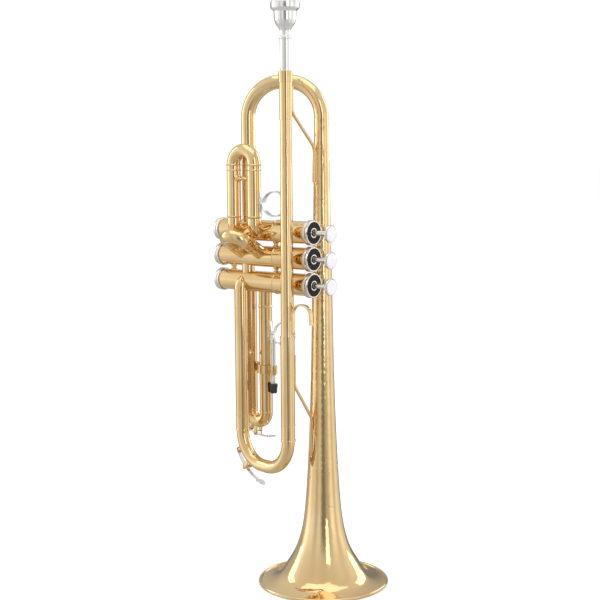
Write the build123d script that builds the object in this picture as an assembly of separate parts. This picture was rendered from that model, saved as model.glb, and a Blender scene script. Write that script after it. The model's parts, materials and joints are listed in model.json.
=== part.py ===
from build123d import *
import math
import os

# A B-flat trumpet standing on its bell.
# Frame: millimetres, origin at the centre of the bell mouth on the resting plane, +Z up along the
# bell towards the mouthpiece, +X along the valves towards the finger buttons, +Y towards the
# player's left hand side, which is the side the bell is on.

os.makedirs("parts", exist_ok=True)

X_AXIS = Vector(1, 0, 0)
Y_AXIS = Vector(0, 1, 0)
Z_AXIS = Vector(0, 0, 1)

# ---------------------------------------------------------------- driving dimensions
# Bell: outer radius at heights above the mouth, from the flared rim to the start of the bow.
BELL_OUTLINE = [
    (1.7, 60.3), (2.9, 53.5), (7.4, 43.0), (18.0, 34.7), (30.0, 27.5), (42.0, 22.8), (58.0, 19.1),
    (80.0, 16.5), (110.0, 14.5), (150.0, 12.6), (200.0, 10.95), (270.0, 9.5), (340.0, 8.1),
    (400.0, 7.1), (438.5, 6.6),
]
BELL_WALL = 0.6
BELL_SEAM_Z = 90.0
RIM_RADIUS = 61.5
RIM_BEAD_RADIUS = 1.5
RIM_FOOT_DEPTH = 0.1
BOW_TUBE_RADIUS = 6.6
BOW_Z = 438.5
BOW_CORNER_RADIUS = 33.5
TUBE_WALL = 0.5

# Axes of the long tubes that run parallel to the bell, as (x, y).
BELL_XY = (0.0, 0.0)
TAIL_XY = (-70.3, -22.0)
LEAD_XY = (-8.3, -41.0)
LOWER_XY = (-73.3, -31.0)

# Valve section.
VALVE_Y = -22.0
VALVE_PITCH = 24.1
VALVE_Z = [334.2, 334.2 - VALVE_PITCH, 334.2 - 2 * VALVE_PITCH]
CASING_BORE_RADIUS = 8.40
CASING_RADIUS = 9.75
BARREL_RADIUS = 10.25
CASING_BEAD_RADIUS = 10.8
CASING_BOTTOM_X = -104.2
CASING_JOINT_X = -34.6
CASING_TOP_X = 4.4
BOTTOM_CAP_RADIUS = 10.8
BOTTOM_CAP_END_X = -107.8
BOTTOM_CAP_SKIRT_X = -101.2
TOP_CAP_RADIUS = 11.6
TOP_CAP_SKIRT_X = 2.0
TOP_CAP_FACE_X = 8.2
FELT_RADIUS = 9.9
HUB_RADIUS = 4.5
STEM_RADIUS = 2.3
VALVE_STROKE = 16.0
BUTTON_BASE_X = 24.6
BUTTON_TOP_X = 28.4
BUTTON_RADIUS = 8.1
PISTON_RADIUS = 8.33
PISTON_BOTTOM_X = -87.6
PISTON_TOP_X = -30.0
SPRING_BARREL_TOP_X = 1.0
GUIDE_THICKNESS = 2.0
GUIDE_X = PISTON_TOP_X + 0.5

# Tubing bores and outer sizes.
BORE_RADIUS = 5.6
PORT_RADIUS = 4.6
MAIN_OUTER_RADIUS = 6.6
MAIN_INNER_RADIUS = 6.1
VALVE_OUTER_RADIUS = 6.4
VALVE_INNER_RADIUS = 5.95
FIT_CLEARANCE = 0.05
OPEN_GAP = 0.3
VALVE_BORE_RADIUS = 5.4
KNUCKLE_BEND = 7.0
CROSSOVER_X = -72.0
CROSSOVER_RADIUS = 5.9

# Main tuning slide.
MAIN_OUTER_TOP_Z = 240.0
MAIN_OUTER_END_Z = 156.5
MAIN_BOW_Z = 142.0
MAIN_BOW_CORNER = 29.3
MAIN_LEG_TOP_Z = 232.0

# Valve slides.
FIRST_Y = -36.0
FIRST_X = [-76.5, -51.4]
FIRST_OPEN_Z = 346.0
FIRST_BOW_Z = 396.5
SECOND_TILT = 30.0
SECOND_X = [-73.0, -51.0]
SECOND_OUTER_END = 24.0
SECOND_BOW_START = 30.0
THIRD_Y = -8.0
THIRD_X = [-82.5, -63.1]
THIRD_OPEN_Z = 262.0
THIRD_BOW_Z = 157.0
RING_OUTER_RADIUS = 11.8
RING_WALL = 1.0
RING_FOOT_LENGTH = 22.0
FIRST_RING_CENTRE = (-31.6, -30.0, 359.9)
FIRST_RING_TURN = 14.0
FIRST_RING_WIDTH = 7.0
THIRD_RING_CENTRE = (-41.3, -5.8, 235.2)
THIRD_RING_TURN = 4.0
THIRD_RING_WIDTH = 4.2
ROD_XY = (-52.1, -9.8)
ROD_RADIUS = 2.3
ROD_TOP_Z = 229.0
ROD_BOTTOM_Z = 177.5
ROD_HOLDER_Z = 227.0
BUMPER_TOP_Z = 186.5
LUG_Z = (196.0, 204.0)
THIRD_BRACE_Z = 214.0

# Leadpipe, receiver and mouthpiece.
LEAD_BOTTOM_Z = 236.0
LEAD_TOP_Z = 453.5
LEAD_RADIUS_TOP = 5.1
RECEIVER_BOTTOM_Z = 436.0
RECEIVER_TOP_Z = 479.5
RECEIVER_RADIUS = 5.8
RECEIVER_RING_RADIUS = 6.4
RECEIVER_RING_DROP = 10.2
MOUTHPIECE_TOP_Z = 541.2
SHANK_END_Z = 455.0
SHANK_END_RADIUS = 4.25
SHANK_TOP_RADIUS = 4.8
SHANK_TAPER_LENGTH = 28.0
SHANK_CLEARANCE = 0.06

# Braces between the bell and the leadpipe side, and the finger hook.
BRACE_ROD_RADIUS = 1.5
BRACE_CORNER = 14.0
HOOK_WIDTH = 4.6
HOOK_FOOT_WIDTH = 8.0
HOOK_THICKNESS = 1.6

# Water keys.
KEY_NIPPLE = 3.4
KEY_CORK_GAP = 0.2
KEY_CORK_DEPTH = 1.8
KEY_POST_OFFSET = 3.6
KEY_PIN_RADIUS = 0.9


# ---------------------------------------------------------------- helpers
def save(shape, node):
    """Write one sub-part to its own file."""
    solids = shape.solids()
    body = solids[0] if len(solids) == 1 else Compound(children=list(solids))
    body.label = node
    export_step(body, f"parts/{node}.step")


def save_group(pieces, node):
    """Write several separate solids to one file."""
    save(Compound(children=[solid for piece in pieces for solid in piece.solids()]), node)


def cylinder(start, end, radius):
    """Solid round bar between two points."""
    start = Vector(*start)
    end = Vector(*end)
    reach = end - start
    return Solid.make_cylinder(radius, reach.length, Plane(start, z_dir=reach.normalized()))


def pipe(start, end, radius, bore):
    """Straight tube between two points."""
    return cylinder(start, end, radius) - cylinder(start, end, bore)


def cone_pipe(start, end, radius_start, radius_end, wall):
    """Tapered tube between two points."""
    start = Vector(*start)
    reach = Vector(*end) - start
    frame = Plane(start, z_dir=reach.normalized())
    outer = Solid.make_cone(radius_start, radius_end, reach.length, frame)
    inner = Solid.make_cone(radius_start - wall, radius_end - wall, reach.length, frame)
    return outer - inner


def bent(path, radius):
    """Round bar swept along a path of straight runs joined by tangent arcs."""
    section = Plane(path @ 0, z_dir=path % 0) * Circle(radius)
    return sweep(section, path=path)


def bent_pipe(path, radius, bore):
    """Tube swept along a path."""
    return bent(path, radius) - bent(path, bore)


def quarter(start, first, second, radius):
    """Quarter arc that leaves start along first and ends heading along second."""
    diagonal = math.sqrt(0.5)
    middle = start + first * (radius * diagonal) + second * (radius * (1 - diagonal))
    end = start + first * radius + second * radius
    return ThreePointArc(start, middle, end), end


def u_path(start, end, out, corner):
    """U-shaped path from start to end: two quarter bends and a straight back between them."""
    start = Vector(*start)
    end = Vector(*end)
    across = (end - start).normalized()
    back = (end - start).length - 2 * corner
    arc_a, turn_a = quarter(start, out, across, corner)
    edges = [arc_a]
    turn_b = turn_a
    if back > 0.01:
        turn_b = turn_a + across * back
        edges.append(Line(turn_a, turn_b))
    arc_b, _ = quarter(turn_b, across, out * -1, corner)
    edges.append(arc_b)
    return Wire(edges)


def elbow_path(x, y, z_open, z_casing):
    """Path of a knuckle: from an open end down the tube, round a bend and into the casing axis."""
    up = 1 if z_open > z_casing else -1
    side = 1 if y < VALVE_Y else -1
    open_end = Vector(x, y, z_open)
    bend_start = Vector(x, y, z_casing + up * KNUCKLE_BEND)
    arc, bend_end = quarter(bend_start, Z_AXIS * -up, Y_AXIS * side, KNUCKLE_BEND)
    inside = Vector(x, VALVE_Y - side * 4.0, z_casing)
    return Wire([Line(open_end, bend_start), arc, Line(bend_end, inside)])


def revolved_x(points, y, z):
    """Solid of revolution about a line parallel to X; points are (x, radius)."""
    outline = Polyline(*[(px, pr, 0) for px, pr in points], close=True)
    turned = revolve(make_face(outline), axis=Axis.X)
    return Pos(0, y, z) * turned


def revolved_z(points, x, y):
    """Solid of revolution about a line parallel to Z; points are (radius, z)."""
    outline = Polyline(*[(pr, 0, pz) for pr, pz in points], close=True)
    turned = revolve(make_face(outline), axis=Axis.Z)
    return Pos(x, y, 0) * turned


def band(x, y, z, inner, outer, width):
    """Raised ring round a vertical tube, centred at height z."""
    ring = cylinder((x, y, z - width / 2), (x, y, z + width / 2), outer)
    return ring - cylinder((x, y, z - width), (x, y, z + width), inner)


def along(start, direction, distance):
    """Point at a distance from start."""
    point = Vector(*start) + direction * distance
    return (point.X, point.Y, point.Z)


def turned_strut(start, end, foot_gap):
    """Small turned strut between two points, waisted, with a ball in the middle and wide feet."""
    start = Vector(*start)
    reach = Vector(*end) - start
    half = reach.length / 2
    points = [
        (-half, 0), (-half, 4.4), (-foot_gap + 0.5, 3.4), (-foot_gap + 1.4, 1.7), (-1.2, 1.4),
        (0, 2.2), (1.2, 1.4), (foot_gap - 1.4, 1.7), (foot_gap - 0.5, 3.4), (half, 4.4), (half, 0),
    ]
    outline = Polyline(*[(radius, 0, place) for place, radius in points], close=True)
    strut = revolve(make_face(outline), axis=Axis.Z)
    return Plane(start + reach * 0.5, z_dir=reach.normalized()) * strut


def upright(xy, low, high, radius):
    """Solid vertical bar, used to trim what is soldered to the outside of a tube."""
    return cylinder((*xy, low), (*xy, high), radius)


# ---------------------------------------------------------------- bell
def bell_shell():
    """Spun bell from the rim to the start of the bow, as one thin shell."""
    outer = Spline(*[(radius, 0, z) for z, radius in BELL_OUTLINE])
    inner_points = []
    steps = 24
    for step in range(steps + 1):
        place = outer @ (step / steps)
        tangent = outer % (step / steps)
        normal = Vector(-tangent.Z, 0, tangent.X).normalized()
        inner_points.append(place + normal * BELL_WALL)
    inner = Spline(*inner_points)
    edges = [outer, Line(outer @ 1, inner @ 1), inner, Line(inner @ 0, outer @ 0)]
    return revolve(make_face(edges), axis=Axis.Z)


def bell_bar(extra=0.0):
    """Bell filled in, optionally thickened, to shape what is soldered to its outside."""
    outer = Spline(*[(radius + extra, 0, z) for z, radius in BELL_OUTLINE])
    low = outer @ 0
    high = outer @ 1
    edges = [
        outer, Line(high, (0, 0, high.Z)), Line((0, 0, high.Z), (0, 0, low.Z)),
        Line((0, 0, low.Z), low),
    ]
    return revolve(make_face(edges), axis=Axis.Z)


def make_bell():
    shell = bell_shell()
    seam = Plane.XY.offset(BELL_SEAM_Z)
    flare = split(shell, seam, keep=Keep.BOTTOM)
    stem = split(shell, seam, keep=Keep.TOP)
    bead_centre = RIM_RADIUS - RIM_BEAD_RADIUS
    bead_z = RIM_BEAD_RADIUS - RIM_FOOT_DEPTH
    bead = Solid.make_torus(bead_centre, RIM_BEAD_RADIUS, Plane((0, 0, bead_z)))
    below = Pos(0, 0, -5) * Box(200, 200, 10)
    bead = bead - below - flare
    save(flare, "bell_flare")
    save(stem, "bell_stem")
    save(bead, "bell_rim_bead")
    bow_start = (*BELL_XY, BOW_Z)
    bow_end = (*TAIL_XY, BOW_Z)
    path = u_path(bow_start, bow_end, Z_AXIS, BOW_CORNER_RADIUS)
    save(bent_pipe(path, BOW_TUBE_RADIUS, BOW_TUBE_RADIUS - TUBE_WALL), "bell_bow")
    tail = cone_pipe((*TAIL_XY, VALVE_Z[0]), (*TAIL_XY, BOW_Z), 6.2, BOW_TUBE_RADIUS, TUBE_WALL)
    save(tail - casing_blank(0), "bell_tail")


# ---------------------------------------------------------------- valve section
def casing_outline():
    """Outside of a casing: thin lower tube, a bead at the joint, then the wider spring barrel."""
    joint = CASING_JOINT_X
    return [
        (CASING_BOTTOM_X, CASING_RADIUS), (joint - 1.2, CASING_RADIUS),
        (joint - 0.6, CASING_BEAD_RADIUS - 0.3), (joint, CASING_BEAD_RADIUS),
        (joint + 0.6, CASING_BEAD_RADIUS - 0.3), (joint + 1.2, BARREL_RADIUS),
        (CASING_TOP_X, BARREL_RADIUS),
    ]


def casing_blank(index):
    """One valve casing filled in, used to trim the tubes that meet it."""
    points = [(CASING_BOTTOM_X, 0)] + casing_outline() + [(CASING_TOP_X, 0)]
    return revolved_x(points, VALVE_Y, VALVE_Z[index])


def radial_port(x, z, direction, radius):
    """Hole from the casing axis outwards."""
    start = (x, VALVE_Y, z)
    return cylinder(start, along(start, direction, 14), radius)


SECOND_DIRECTION = Vector(
    0, -math.cos(math.radians(SECOND_TILT)), math.sin(math.radians(SECOND_TILT))
)
LOWER_SIDE = Y_AXIS * -1

# Where air leaves or enters each casing: x and outward direction.
CASING_PORTS = [
    [(TAIL_XY[0], Z_AXIS), (CROSSOVER_X, Z_AXIS * -1)] + [(x, Y_AXIS * -1) for x in FIRST_X],
    [(CROSSOVER_X, Z_AXIS), (CROSSOVER_X, Z_AXIS * -1)] + [(x, SECOND_DIRECTION) for x in SECOND_X],
    [(CROSSOVER_X, Z_AXIS), (LOWER_XY[0], LOWER_SIDE)] + [(x, Y_AXIS) for x in THIRD_X],
]


def make_casing(index):
    z = VALVE_Z[index]
    bore = [(CASING_TOP_X, CASING_BORE_RADIUS), (CASING_BOTTOM_X, CASING_BORE_RADIUS)]
    casing = revolved_x(casing_outline() + bore, VALVE_Y, z)
    for x, direction in CASING_PORTS[index]:
        casing -= radial_port(x, z, direction, PORT_RADIUS)
    # Two grooves inside the upper end hold the keys of the valve guide.
    groove_start = GUIDE_X - 0.5
    groove_length = CASING_TOP_X - groove_start + 1
    groove = Box(groove_length, 18.4, 3.2, align=(Align.MIN, Align.CENTER, Align.CENTER))
    casing -= Pos(groove_start, VALVE_Y, z) * groove
    save(casing, f"valve_casing_{index + 1}")


def make_bottom_cap(z):
    points = [
        (BOTTOM_CAP_END_X, 1.6), (BOTTOM_CAP_END_X + 1.0, 6.2), (BOTTOM_CAP_END_X, 7.0),
        (BOTTOM_CAP_END_X, 9.2), (BOTTOM_CAP_END_X + 1.0, BOTTOM_CAP_RADIUS - 0.3),
        (BOTTOM_CAP_END_X + 3.4, BOTTOM_CAP_RADIUS), (BOTTOM_CAP_END_X + 3.8, BOTTOM_CAP_RADIUS - 0.5),
        (BOTTOM_CAP_END_X + 4.4, BOTTOM_CAP_RADIUS - 0.5), (BOTTOM_CAP_END_X + 4.8, BOTTOM_CAP_RADIUS),
        (BOTTOM_CAP_SKIRT_X - 0.4, BOTTOM_CAP_RADIUS), (BOTTOM_CAP_SKIRT_X, BOTTOM_CAP_RADIUS - 0.4),
        (BOTTOM_CAP_SKIRT_X, CASING_RADIUS), (CASING_BOTTOM_X, CASING_RADIUS),
        (CASING_BOTTOM_X, 8.2), (CASING_BOTTOM_X - 1.8, 7.6), (CASING_BOTTOM_X - 1.8, 1.6),
    ]
    return revolved_x(points, VALVE_Y, z)


def make_top_cap(z):
    face = TOP_CAP_FACE_X
    points = [
        (TOP_CAP_SKIRT_X, BARREL_RADIUS), (TOP_CAP_SKIRT_X, TOP_CAP_RADIUS - 0.9),
        (TOP_CAP_SKIRT_X + 0.4, TOP_CAP_RADIUS - 0.3), (TOP_CAP_SKIRT_X + 2.6, TOP_CAP_RADIUS - 0.3),
        (TOP_CAP_SKIRT_X + 2.9, TOP_CAP_RADIUS - 0.8), (TOP_CAP_SKIRT_X + 3.5, TOP_CAP_RADIUS - 0.8),
        (TOP_CAP_SKIRT_X + 3.9, TOP_CAP_RADIUS), (face - 0.6, TOP_CAP_RADIUS),
        (face, TOP_CAP_RADIUS - 0.6), (face, FELT_RADIUS + 0.2), (face - 1.8, FELT_RADIUS),
        (face - 1.8, HUB_RADIUS + 0.1), (face, HUB_RADIUS), (face, HUB_RADIUS - 1.0),
        (CASING_TOP_X + 0.8, HUB_RADIUS - 1.0),
        (CASING_TOP_X + 0.8, 7.8), (CASING_TOP_X, CASING_BORE_RADIUS), (CASING_TOP_X, BARREL_RADIUS),
    ]
    return revolved_x(points, VALVE_Y, z)


def make_cap_felt(z):
    points = [
        (TOP_CAP_FACE_X - 1.8, HUB_RADIUS + 0.15), (TOP_CAP_FACE_X - 1.8, FELT_RADIUS),
        (TOP_CAP_FACE_X - 0.3, FELT_RADIUS - 0.1), (TOP_CAP_FACE_X - 0.3, HUB_RADIUS + 0.2),
    ]
    return revolved_x(points, VALVE_Y, z)


def make_guide(z):
    disc = cylinder((GUIDE_X, VALVE_Y, z), (GUIDE_X + GUIDE_THICKNESS, VALVE_Y, z), 6.6)
    keys = Box(GUIDE_THICKNESS, 17.8, 2.8, align=(Align.MIN, Align.CENTER, Align.CENTER))
    guide = disc + Pos(GUIDE_X, VALVE_Y, z) * keys
    hole = cylinder((GUIDE_X - 1, VALVE_Y, z), (GUIDE_X + 4, VALVE_Y, z), 1.5)
    return guide - hole


def make_spring(z):
    """Valve spring between the guide and the underside of the barrel top."""
    start = GUIDE_X + GUIDE_THICKNESS + 0.5
    end = SPRING_BARREL_TOP_X - 2.1
    wire = 0.4
    helix = Helix(pitch=(end - start) / 7, height=end - start, radius=5.6)
    section = Plane(helix @ 0, z_dir=helix % 0) * Circle(wire)
    coil = sweep(section, path=helix, is_frenet=True)
    return Pos(start, VALVE_Y, z) * Rot(0, 90, 0) * coil


def make_piston(index):
    """Ported piston body, the slotted spring barrel above it and the stem that the button is on."""
    z = VALVE_Z[index]
    body = cylinder((PISTON_BOTTOM_X, VALVE_Y, z), (PISTON_TOP_X, VALVE_Y, z), PISTON_RADIUS)
    hollow = cylinder((PISTON_BOTTOM_X - 1, VALVE_Y, z), (PISTON_BOTTOM_X + 4, VALVE_Y, z), 7.2)
    body -= hollow
    through = cylinder((CROSSOVER_X, VALVE_Y, z - 12), (CROSSOVER_X, VALVE_Y, z + 12), PORT_RADIUS)
    body -= through
    for x, direction in CASING_PORTS[index][2:]:
        port_x = x + VALVE_STROKE
        if abs(port_x - CROSSOVER_X) > 2 * PORT_RADIUS + 0.8 and port_x < PISTON_TOP_X - PORT_RADIUS:
            start = (port_x, VALVE_Y, z)
            port = cylinder(along(start, direction, -2), along(start, direction, 12), PORT_RADIUS)
            body -= port
    start = (PISTON_TOP_X, VALVE_Y, z)
    top = (SPRING_BARREL_TOP_X, VALVE_Y, z)
    barrel = cylinder(start, top, PISTON_RADIUS)
    barrel -= cylinder((PISTON_TOP_X, VALVE_Y, z), (SPRING_BARREL_TOP_X - 1.6, VALVE_Y, z), 7.4)
    slot_length = VALVE_STROKE + GUIDE_THICKNESS + 2
    slot = Box(slot_length, 20, 3.4, align=(Align.MIN, Align.CENTER, Align.CENTER))
    barrel -= Pos(PISTON_TOP_X, VALVE_Y, z) * slot
    stem = cylinder((SPRING_BARREL_TOP_X - 1, VALVE_Y, z), (BUTTON_BASE_X, VALVE_Y, z), STEM_RADIUS)
    collar = cylinder(top, (SPRING_BARREL_TOP_X + 2.4, VALVE_Y, z), 5.0)
    save(body + barrel + stem + collar, f"piston_{index + 1}")


def make_button(index):
    z = VALVE_Z[index]
    base = BUTTON_BASE_X
    rim = BUTTON_RADIUS
    points = [
        (base, 0), (base, 4.4), (base + 0.5, 6.6), (base + 1.1, rim - 0.5), (base + 1.8, rim),
        (base + 2.6, rim), (BUTTON_TOP_X - 0.4, rim - 0.2), (BUTTON_TOP_X, rim - 0.6),
        (BUTTON_TOP_X, 6.85), (BUTTON_TOP_X - 1.0, 6.85), (BUTTON_TOP_X - 1.0, 0),
    ]
    save(revolved_x(points, VALVE_Y, z), f"finger_button_{index + 1}")
    inlay = [
        (BUTTON_TOP_X - 1.0, 0), (BUTTON_TOP_X - 1.0, 6.8), (BUTTON_TOP_X + 0.1, 6.8),
        (BUTTON_TOP_X + 0.5, 5.0), (BUTTON_TOP_X + 0.65, 2.5), (BUTTON_TOP_X + 0.7, 0),
    ]
    save(revolved_x(inlay, VALVE_Y, z), f"pearl_inlay_{index + 1}")


def make_valves():
    for index in range(3):
        make_casing(index)
        make_piston(index)
        make_button(index)
    group = {
        "bottom_caps": make_bottom_cap,
        "top_caps": make_top_cap,
        "top_cap_felts": make_cap_felt,
        "valve_guides": make_guide,
        "valve_springs": make_spring,
    }
    for node, maker in group.items():
        save_group([maker(z) for z in VALVE_Z], node)
    crossovers = []
    ties = []
    for index in (0, 1):
        high = VALVE_Z[index]
        low = VALVE_Z[index + 1]
        gap_pieces = [(CROSSOVER_X, CROSSOVER_RADIUS, PORT_RADIUS, crossovers)]
        gap_pieces += [(x, 3.1, 0, ties) for x in (-90.0, -36.9)]
        for x, radius, bore, group_list in gap_pieces:
            piece = cylinder((x, VALVE_Y, low), (x, VALVE_Y, high), radius)
            if bore:
                piece -= cylinder((x, VALVE_Y, low), (x, VALVE_Y, high), bore)
            else:
                piece -= Solid.make_torus(3.9, 1.7, Plane((x, VALVE_Y, (low + high) / 2)))
            piece = piece - casing_blank(index) - casing_blank(index + 1)
            middle = (high + low) / 2
            between = [s for s in piece.solids() if abs(s.center().Z - middle) < 2]
            group_list.extend(between)
    save_group(crossovers, "crossover_tubes")
    save_group(ties, "casing_ties")


# ---------------------------------------------------------------- leadpipe side
def lead_bar():
    """Tapered leadpipe as a solid, used to trim what is soldered to its outside."""
    frame = Plane((*LEAD_XY, LEAD_BOTTOM_Z))
    length = LEAD_TOP_Z - LEAD_BOTTOM_Z
    return Solid.make_cone(MAIN_INNER_RADIUS + FIT_CLEARANCE, LEAD_RADIUS_TOP, length, frame)


def make_leadpipe():
    x, y = LEAD_XY
    start = (x, y, LEAD_BOTTOM_Z)
    bottom_radius = MAIN_INNER_RADIUS + FIT_CLEARANCE
    lead = cone_pipe(start, (x, y, LEAD_TOP_Z), bottom_radius, LEAD_RADIUS_TOP, TUBE_WALL)
    save(lead, "leadpipe")
    ring_z = RECEIVER_TOP_Z - RECEIVER_RING_DROP
    outline = [
        (0, RECEIVER_BOTTOM_Z), (RECEIVER_RADIUS - 0.2, RECEIVER_BOTTOM_Z),
        (RECEIVER_RADIUS, RECEIVER_BOTTOM_Z + 0.3), (RECEIVER_RADIUS, ring_z),
        (RECEIVER_RING_RADIUS - 0.2, ring_z), (RECEIVER_RING_RADIUS, ring_z + 0.3),
        (RECEIVER_RING_RADIUS, RECEIVER_TOP_Z - 0.4),
        (RECEIVER_RING_RADIUS - 0.4, RECEIVER_TOP_Z), (0, RECEIVER_TOP_Z),
    ]
    receiver = revolved_z(outline, x, y) - lead_bar()
    receiver -= upright(LEAD_XY, LEAD_TOP_Z - 1, SHANK_END_Z, SHANK_END_RADIUS)
    receiver -= Solid.make_cone(
        SHANK_END_RADIUS, SHANK_TOP_RADIUS, SHANK_TAPER_LENGTH, Plane((x, y, SHANK_END_Z))
    )
    save(receiver, "mouthpiece_receiver")


def make_mouthpiece():
    top = MOUTHPIECE_TOP_Z
    end_radius = SHANK_END_RADIUS - SHANK_CLEARANCE
    outside = [
        (2.3, SHANK_END_Z), (end_radius, SHANK_END_Z),
        (SHANK_TOP_RADIUS - SHANK_CLEARANCE, SHANK_END_Z + SHANK_TAPER_LENGTH),
        (4.95, top - 34.0), (5.7, top - 33.4), (5.7, top - 32.0), (4.7, top - 31.2),
        (4.5, top - 29.0), (5.0, top - 26.0), (6.6, top - 23.4), (8.6, top - 20.8),
        (9.7, top - 17.5), (10.1, top - 13.0), (10.3, top - 9.6), (12.0, top - 8.2),
        (13.0, top - 7.0), (13.2, top - 5.0), (13.1, top - 2.0), (12.5, top - 0.6), (11.4, top),
    ]
    cup = [
        (10.0, top), (9.0, top - 0.7), (8.5, top - 2.0), (8.3, top - 5.0), (7.6, top - 8.5),
        (5.8, top - 11.5), (3.4, top - 13.6), (1.85, top - 16.0), (1.85, top - 22.0),
        (2.3, top - 34.0),
    ]
    save(revolved_z(outside + cup, *LEAD_XY), "mouthpiece")


def make_main_tubes():
    bore = MAIN_INNER_RADIUS + FIT_CLEARANCE
    x, y = LEAD_XY
    upper = pipe((x, y, MAIN_OUTER_END_Z), (x, y, MAIN_OUTER_TOP_Z), MAIN_OUTER_RADIUS, bore)
    save(upper, "upper_outer_tube")
    path = elbow_path(*LOWER_XY, MAIN_OUTER_END_Z, VALVE_Z[2])
    lower = bent_pipe(path, MAIN_OUTER_RADIUS, bore) - casing_blank(2)
    save(lower, "lower_outer_tube")
    inner = MAIN_OUTER_RADIUS
    bands = [
        band(*LEAD_XY, MAIN_OUTER_TOP_Z - 1.0, inner, inner + 0.4, 2.0),
        band(*LEAD_XY, MAIN_OUTER_END_Z + 0.6, inner, inner + 0.3, 1.2),
        band(*LOWER_XY, MAIN_OUTER_END_Z + 0.6, inner, inner + 0.3, 1.2),
    ]
    save_group(bands, "tube_bands")


def make_main_slide():
    """Sliding legs, the ferrules that meet the fixed tubes and the bow with its water key seat."""
    top_z = MAIN_OUTER_END_Z - OPEN_GAP
    for node, (x, y) in (("tuning_slide_upper_leg", LEAD_XY), ("tuning_slide_lower_leg", LOWER_XY)):
        leg = pipe((x, y, MAIN_BOW_Z), (x, y, MAIN_LEG_TOP_Z), MAIN_INNER_RADIUS, BORE_RADIUS)
        save(leg, node)
    path = u_path((*LOWER_XY, MAIN_BOW_Z), (*LEAD_XY, MAIN_BOW_Z), Z_AXIS * -1, MAIN_BOW_CORNER)
    across = (Vector(*LEAD_XY, 0) - Vector(*LOWER_XY, 0)).normalized()
    key = key_layout(
        "main", (*LOWER_XY, MAIN_BOW_Z), across, MAIN_BOW_CORNER, MAIN_INNER_RADIUS, 30.0,
        (56.0, 6.4), (86.0, 10.5),
    )
    bow = bent_pipe(path, MAIN_INNER_RADIUS, BORE_RADIUS) - key_drill(key)
    save(bow, "tuning_slide_bow")
    ferrules = []
    for x, y in (LEAD_XY, LOWER_XY):
        ferrule = pipe((x, y, MAIN_BOW_Z), (x, y, top_z), MAIN_OUTER_RADIUS, MAIN_INNER_RADIUS)
        ferrules.append(ferrule + band(x, y, MAIN_BOW_Z + 1.0, MAIN_INNER_RADIUS, 7.0, 2.0))
    save_group(ferrules, "tuning_slide_ferrules")
    make_key_saddle(key)
    make_key_lever(key)


# ---------------------------------------------------------------- water keys
def key_layout(name, start, across, corner, tube, nipple_angle, hinge, tip):
    """Where the parts of a water key sit beside a bow; hinge and tip are (angle, clearance)."""
    centre = Vector(*start) + across * corner
    side = across.cross(Z_AXIS)
    return {
        "name": name, "across": across, "side": side, "centre": centre, "outside": corner + tube,
        "nipple_angle": nipple_angle, "hinge": hinge, "tip": tip,
        "bow": Solid.make_torus(corner, tube, Plane(centre, z_dir=side)),
    }


def key_point(key, angle, clearance, offset=0.0):
    """Point beside a bow: angle below the level of its centre, clearance from its outside."""
    down = math.radians(angle)
    reach = key["across"] * -math.cos(down) - Z_AXIS * math.sin(down)
    return key["centre"] + reach * (key["outside"] + clearance) + key["side"] * offset


def key_drill(key):
    """Hole through the outer wall of the bow under the nipple."""
    angle = key["nipple_angle"]
    return cylinder(key_point(key, angle, -4), key_point(key, angle, 12), 1.3)


def make_key_saddle(key):
    """Nipple and two hinge posts soldered to the bow, with the hinge pin through the posts."""
    angle = key["nipple_angle"]
    side = key["side"]
    saddle = cylinder(key_point(key, angle, -2), key_point(key, angle, KEY_NIPPLE), 2.6)
    for offset in (-KEY_POST_OFFSET, KEY_POST_OFFSET):
        foot = key_point(key, key["hinge"][0], -2.5, offset)
        head = key_point(key, *key["hinge"], offset)
        rise = head - foot
        frame = Plane(foot, x_dir=side, z_dir=rise.normalized())
        saddle += frame * Box(1.2, 4.0, rise.length, align=(Align.CENTER, Align.CENTER, Align.MIN))
        saddle += cylinder(head - side * 0.6, head + side * 0.6, 2.0)
    pin_half = side * (KEY_POST_OFFSET + 1.0)
    hinge = key_point(key, *key["hinge"])
    saddle = saddle - key["bow"] - key_drill(key)
    saddle += cylinder(hinge - pin_half, hinge + pin_half, KEY_PIN_RADIUS)
    save(saddle, key["name"] + "_key_saddle")


def make_key_lever(key):
    """Rocking lever with the cup over the nipple and the touch piece, and the cork in the cup."""
    angle = key["nipple_angle"]
    side = key["side"]
    hinge = key_point(key, *key["hinge"])
    cork_face = key_point(key, angle, KEY_NIPPLE + KEY_CORK_GAP)
    cork_back = key_point(key, angle, KEY_NIPPLE + KEY_CORK_GAP + KEY_CORK_DEPTH)
    cup_back = key_point(key, angle, KEY_NIPPLE + KEY_CORK_GAP + KEY_CORK_DEPTH + 0.9)
    cork = cylinder(cork_face, cork_back, 2.5)
    cup = cylinder(cork_face + (cork_back - cork_face) * 0.4, cup_back, 3.1)
    over_hinge = key_point(key, key["hinge"][0], key["hinge"][1] + 1.2)
    arm_path = ThreePointArc(cup_back, over_hinge, key_point(key, *key["tip"]))
    arm_frame = Plane(arm_path @ 0, x_dir=side, z_dir=arm_path % 0)
    arm = sweep(arm_frame * RectangleRounded(4.2, 1.3, 0.5), path=arm_path)
    touch_frame = Plane(arm_path @ 1, x_dir=arm_path % 1, z_dir=(arm_path % 1).cross(side))
    touch = touch_frame * extrude(Ellipse(5.5, 3.6), amount=0.7, both=True)
    barrel = cylinder(hinge - side * 2.7, hinge + side * 2.7, 1.9)
    lever = arm + cup + touch + barrel
    lever -= cylinder(hinge - side * 5, hinge + side * 5, KEY_PIN_RADIUS + FIT_CLEARANCE)
    save(lever - cork, key["name"] + "_water_key")
    save(cork, key["name"] + "_key_cork")


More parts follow.
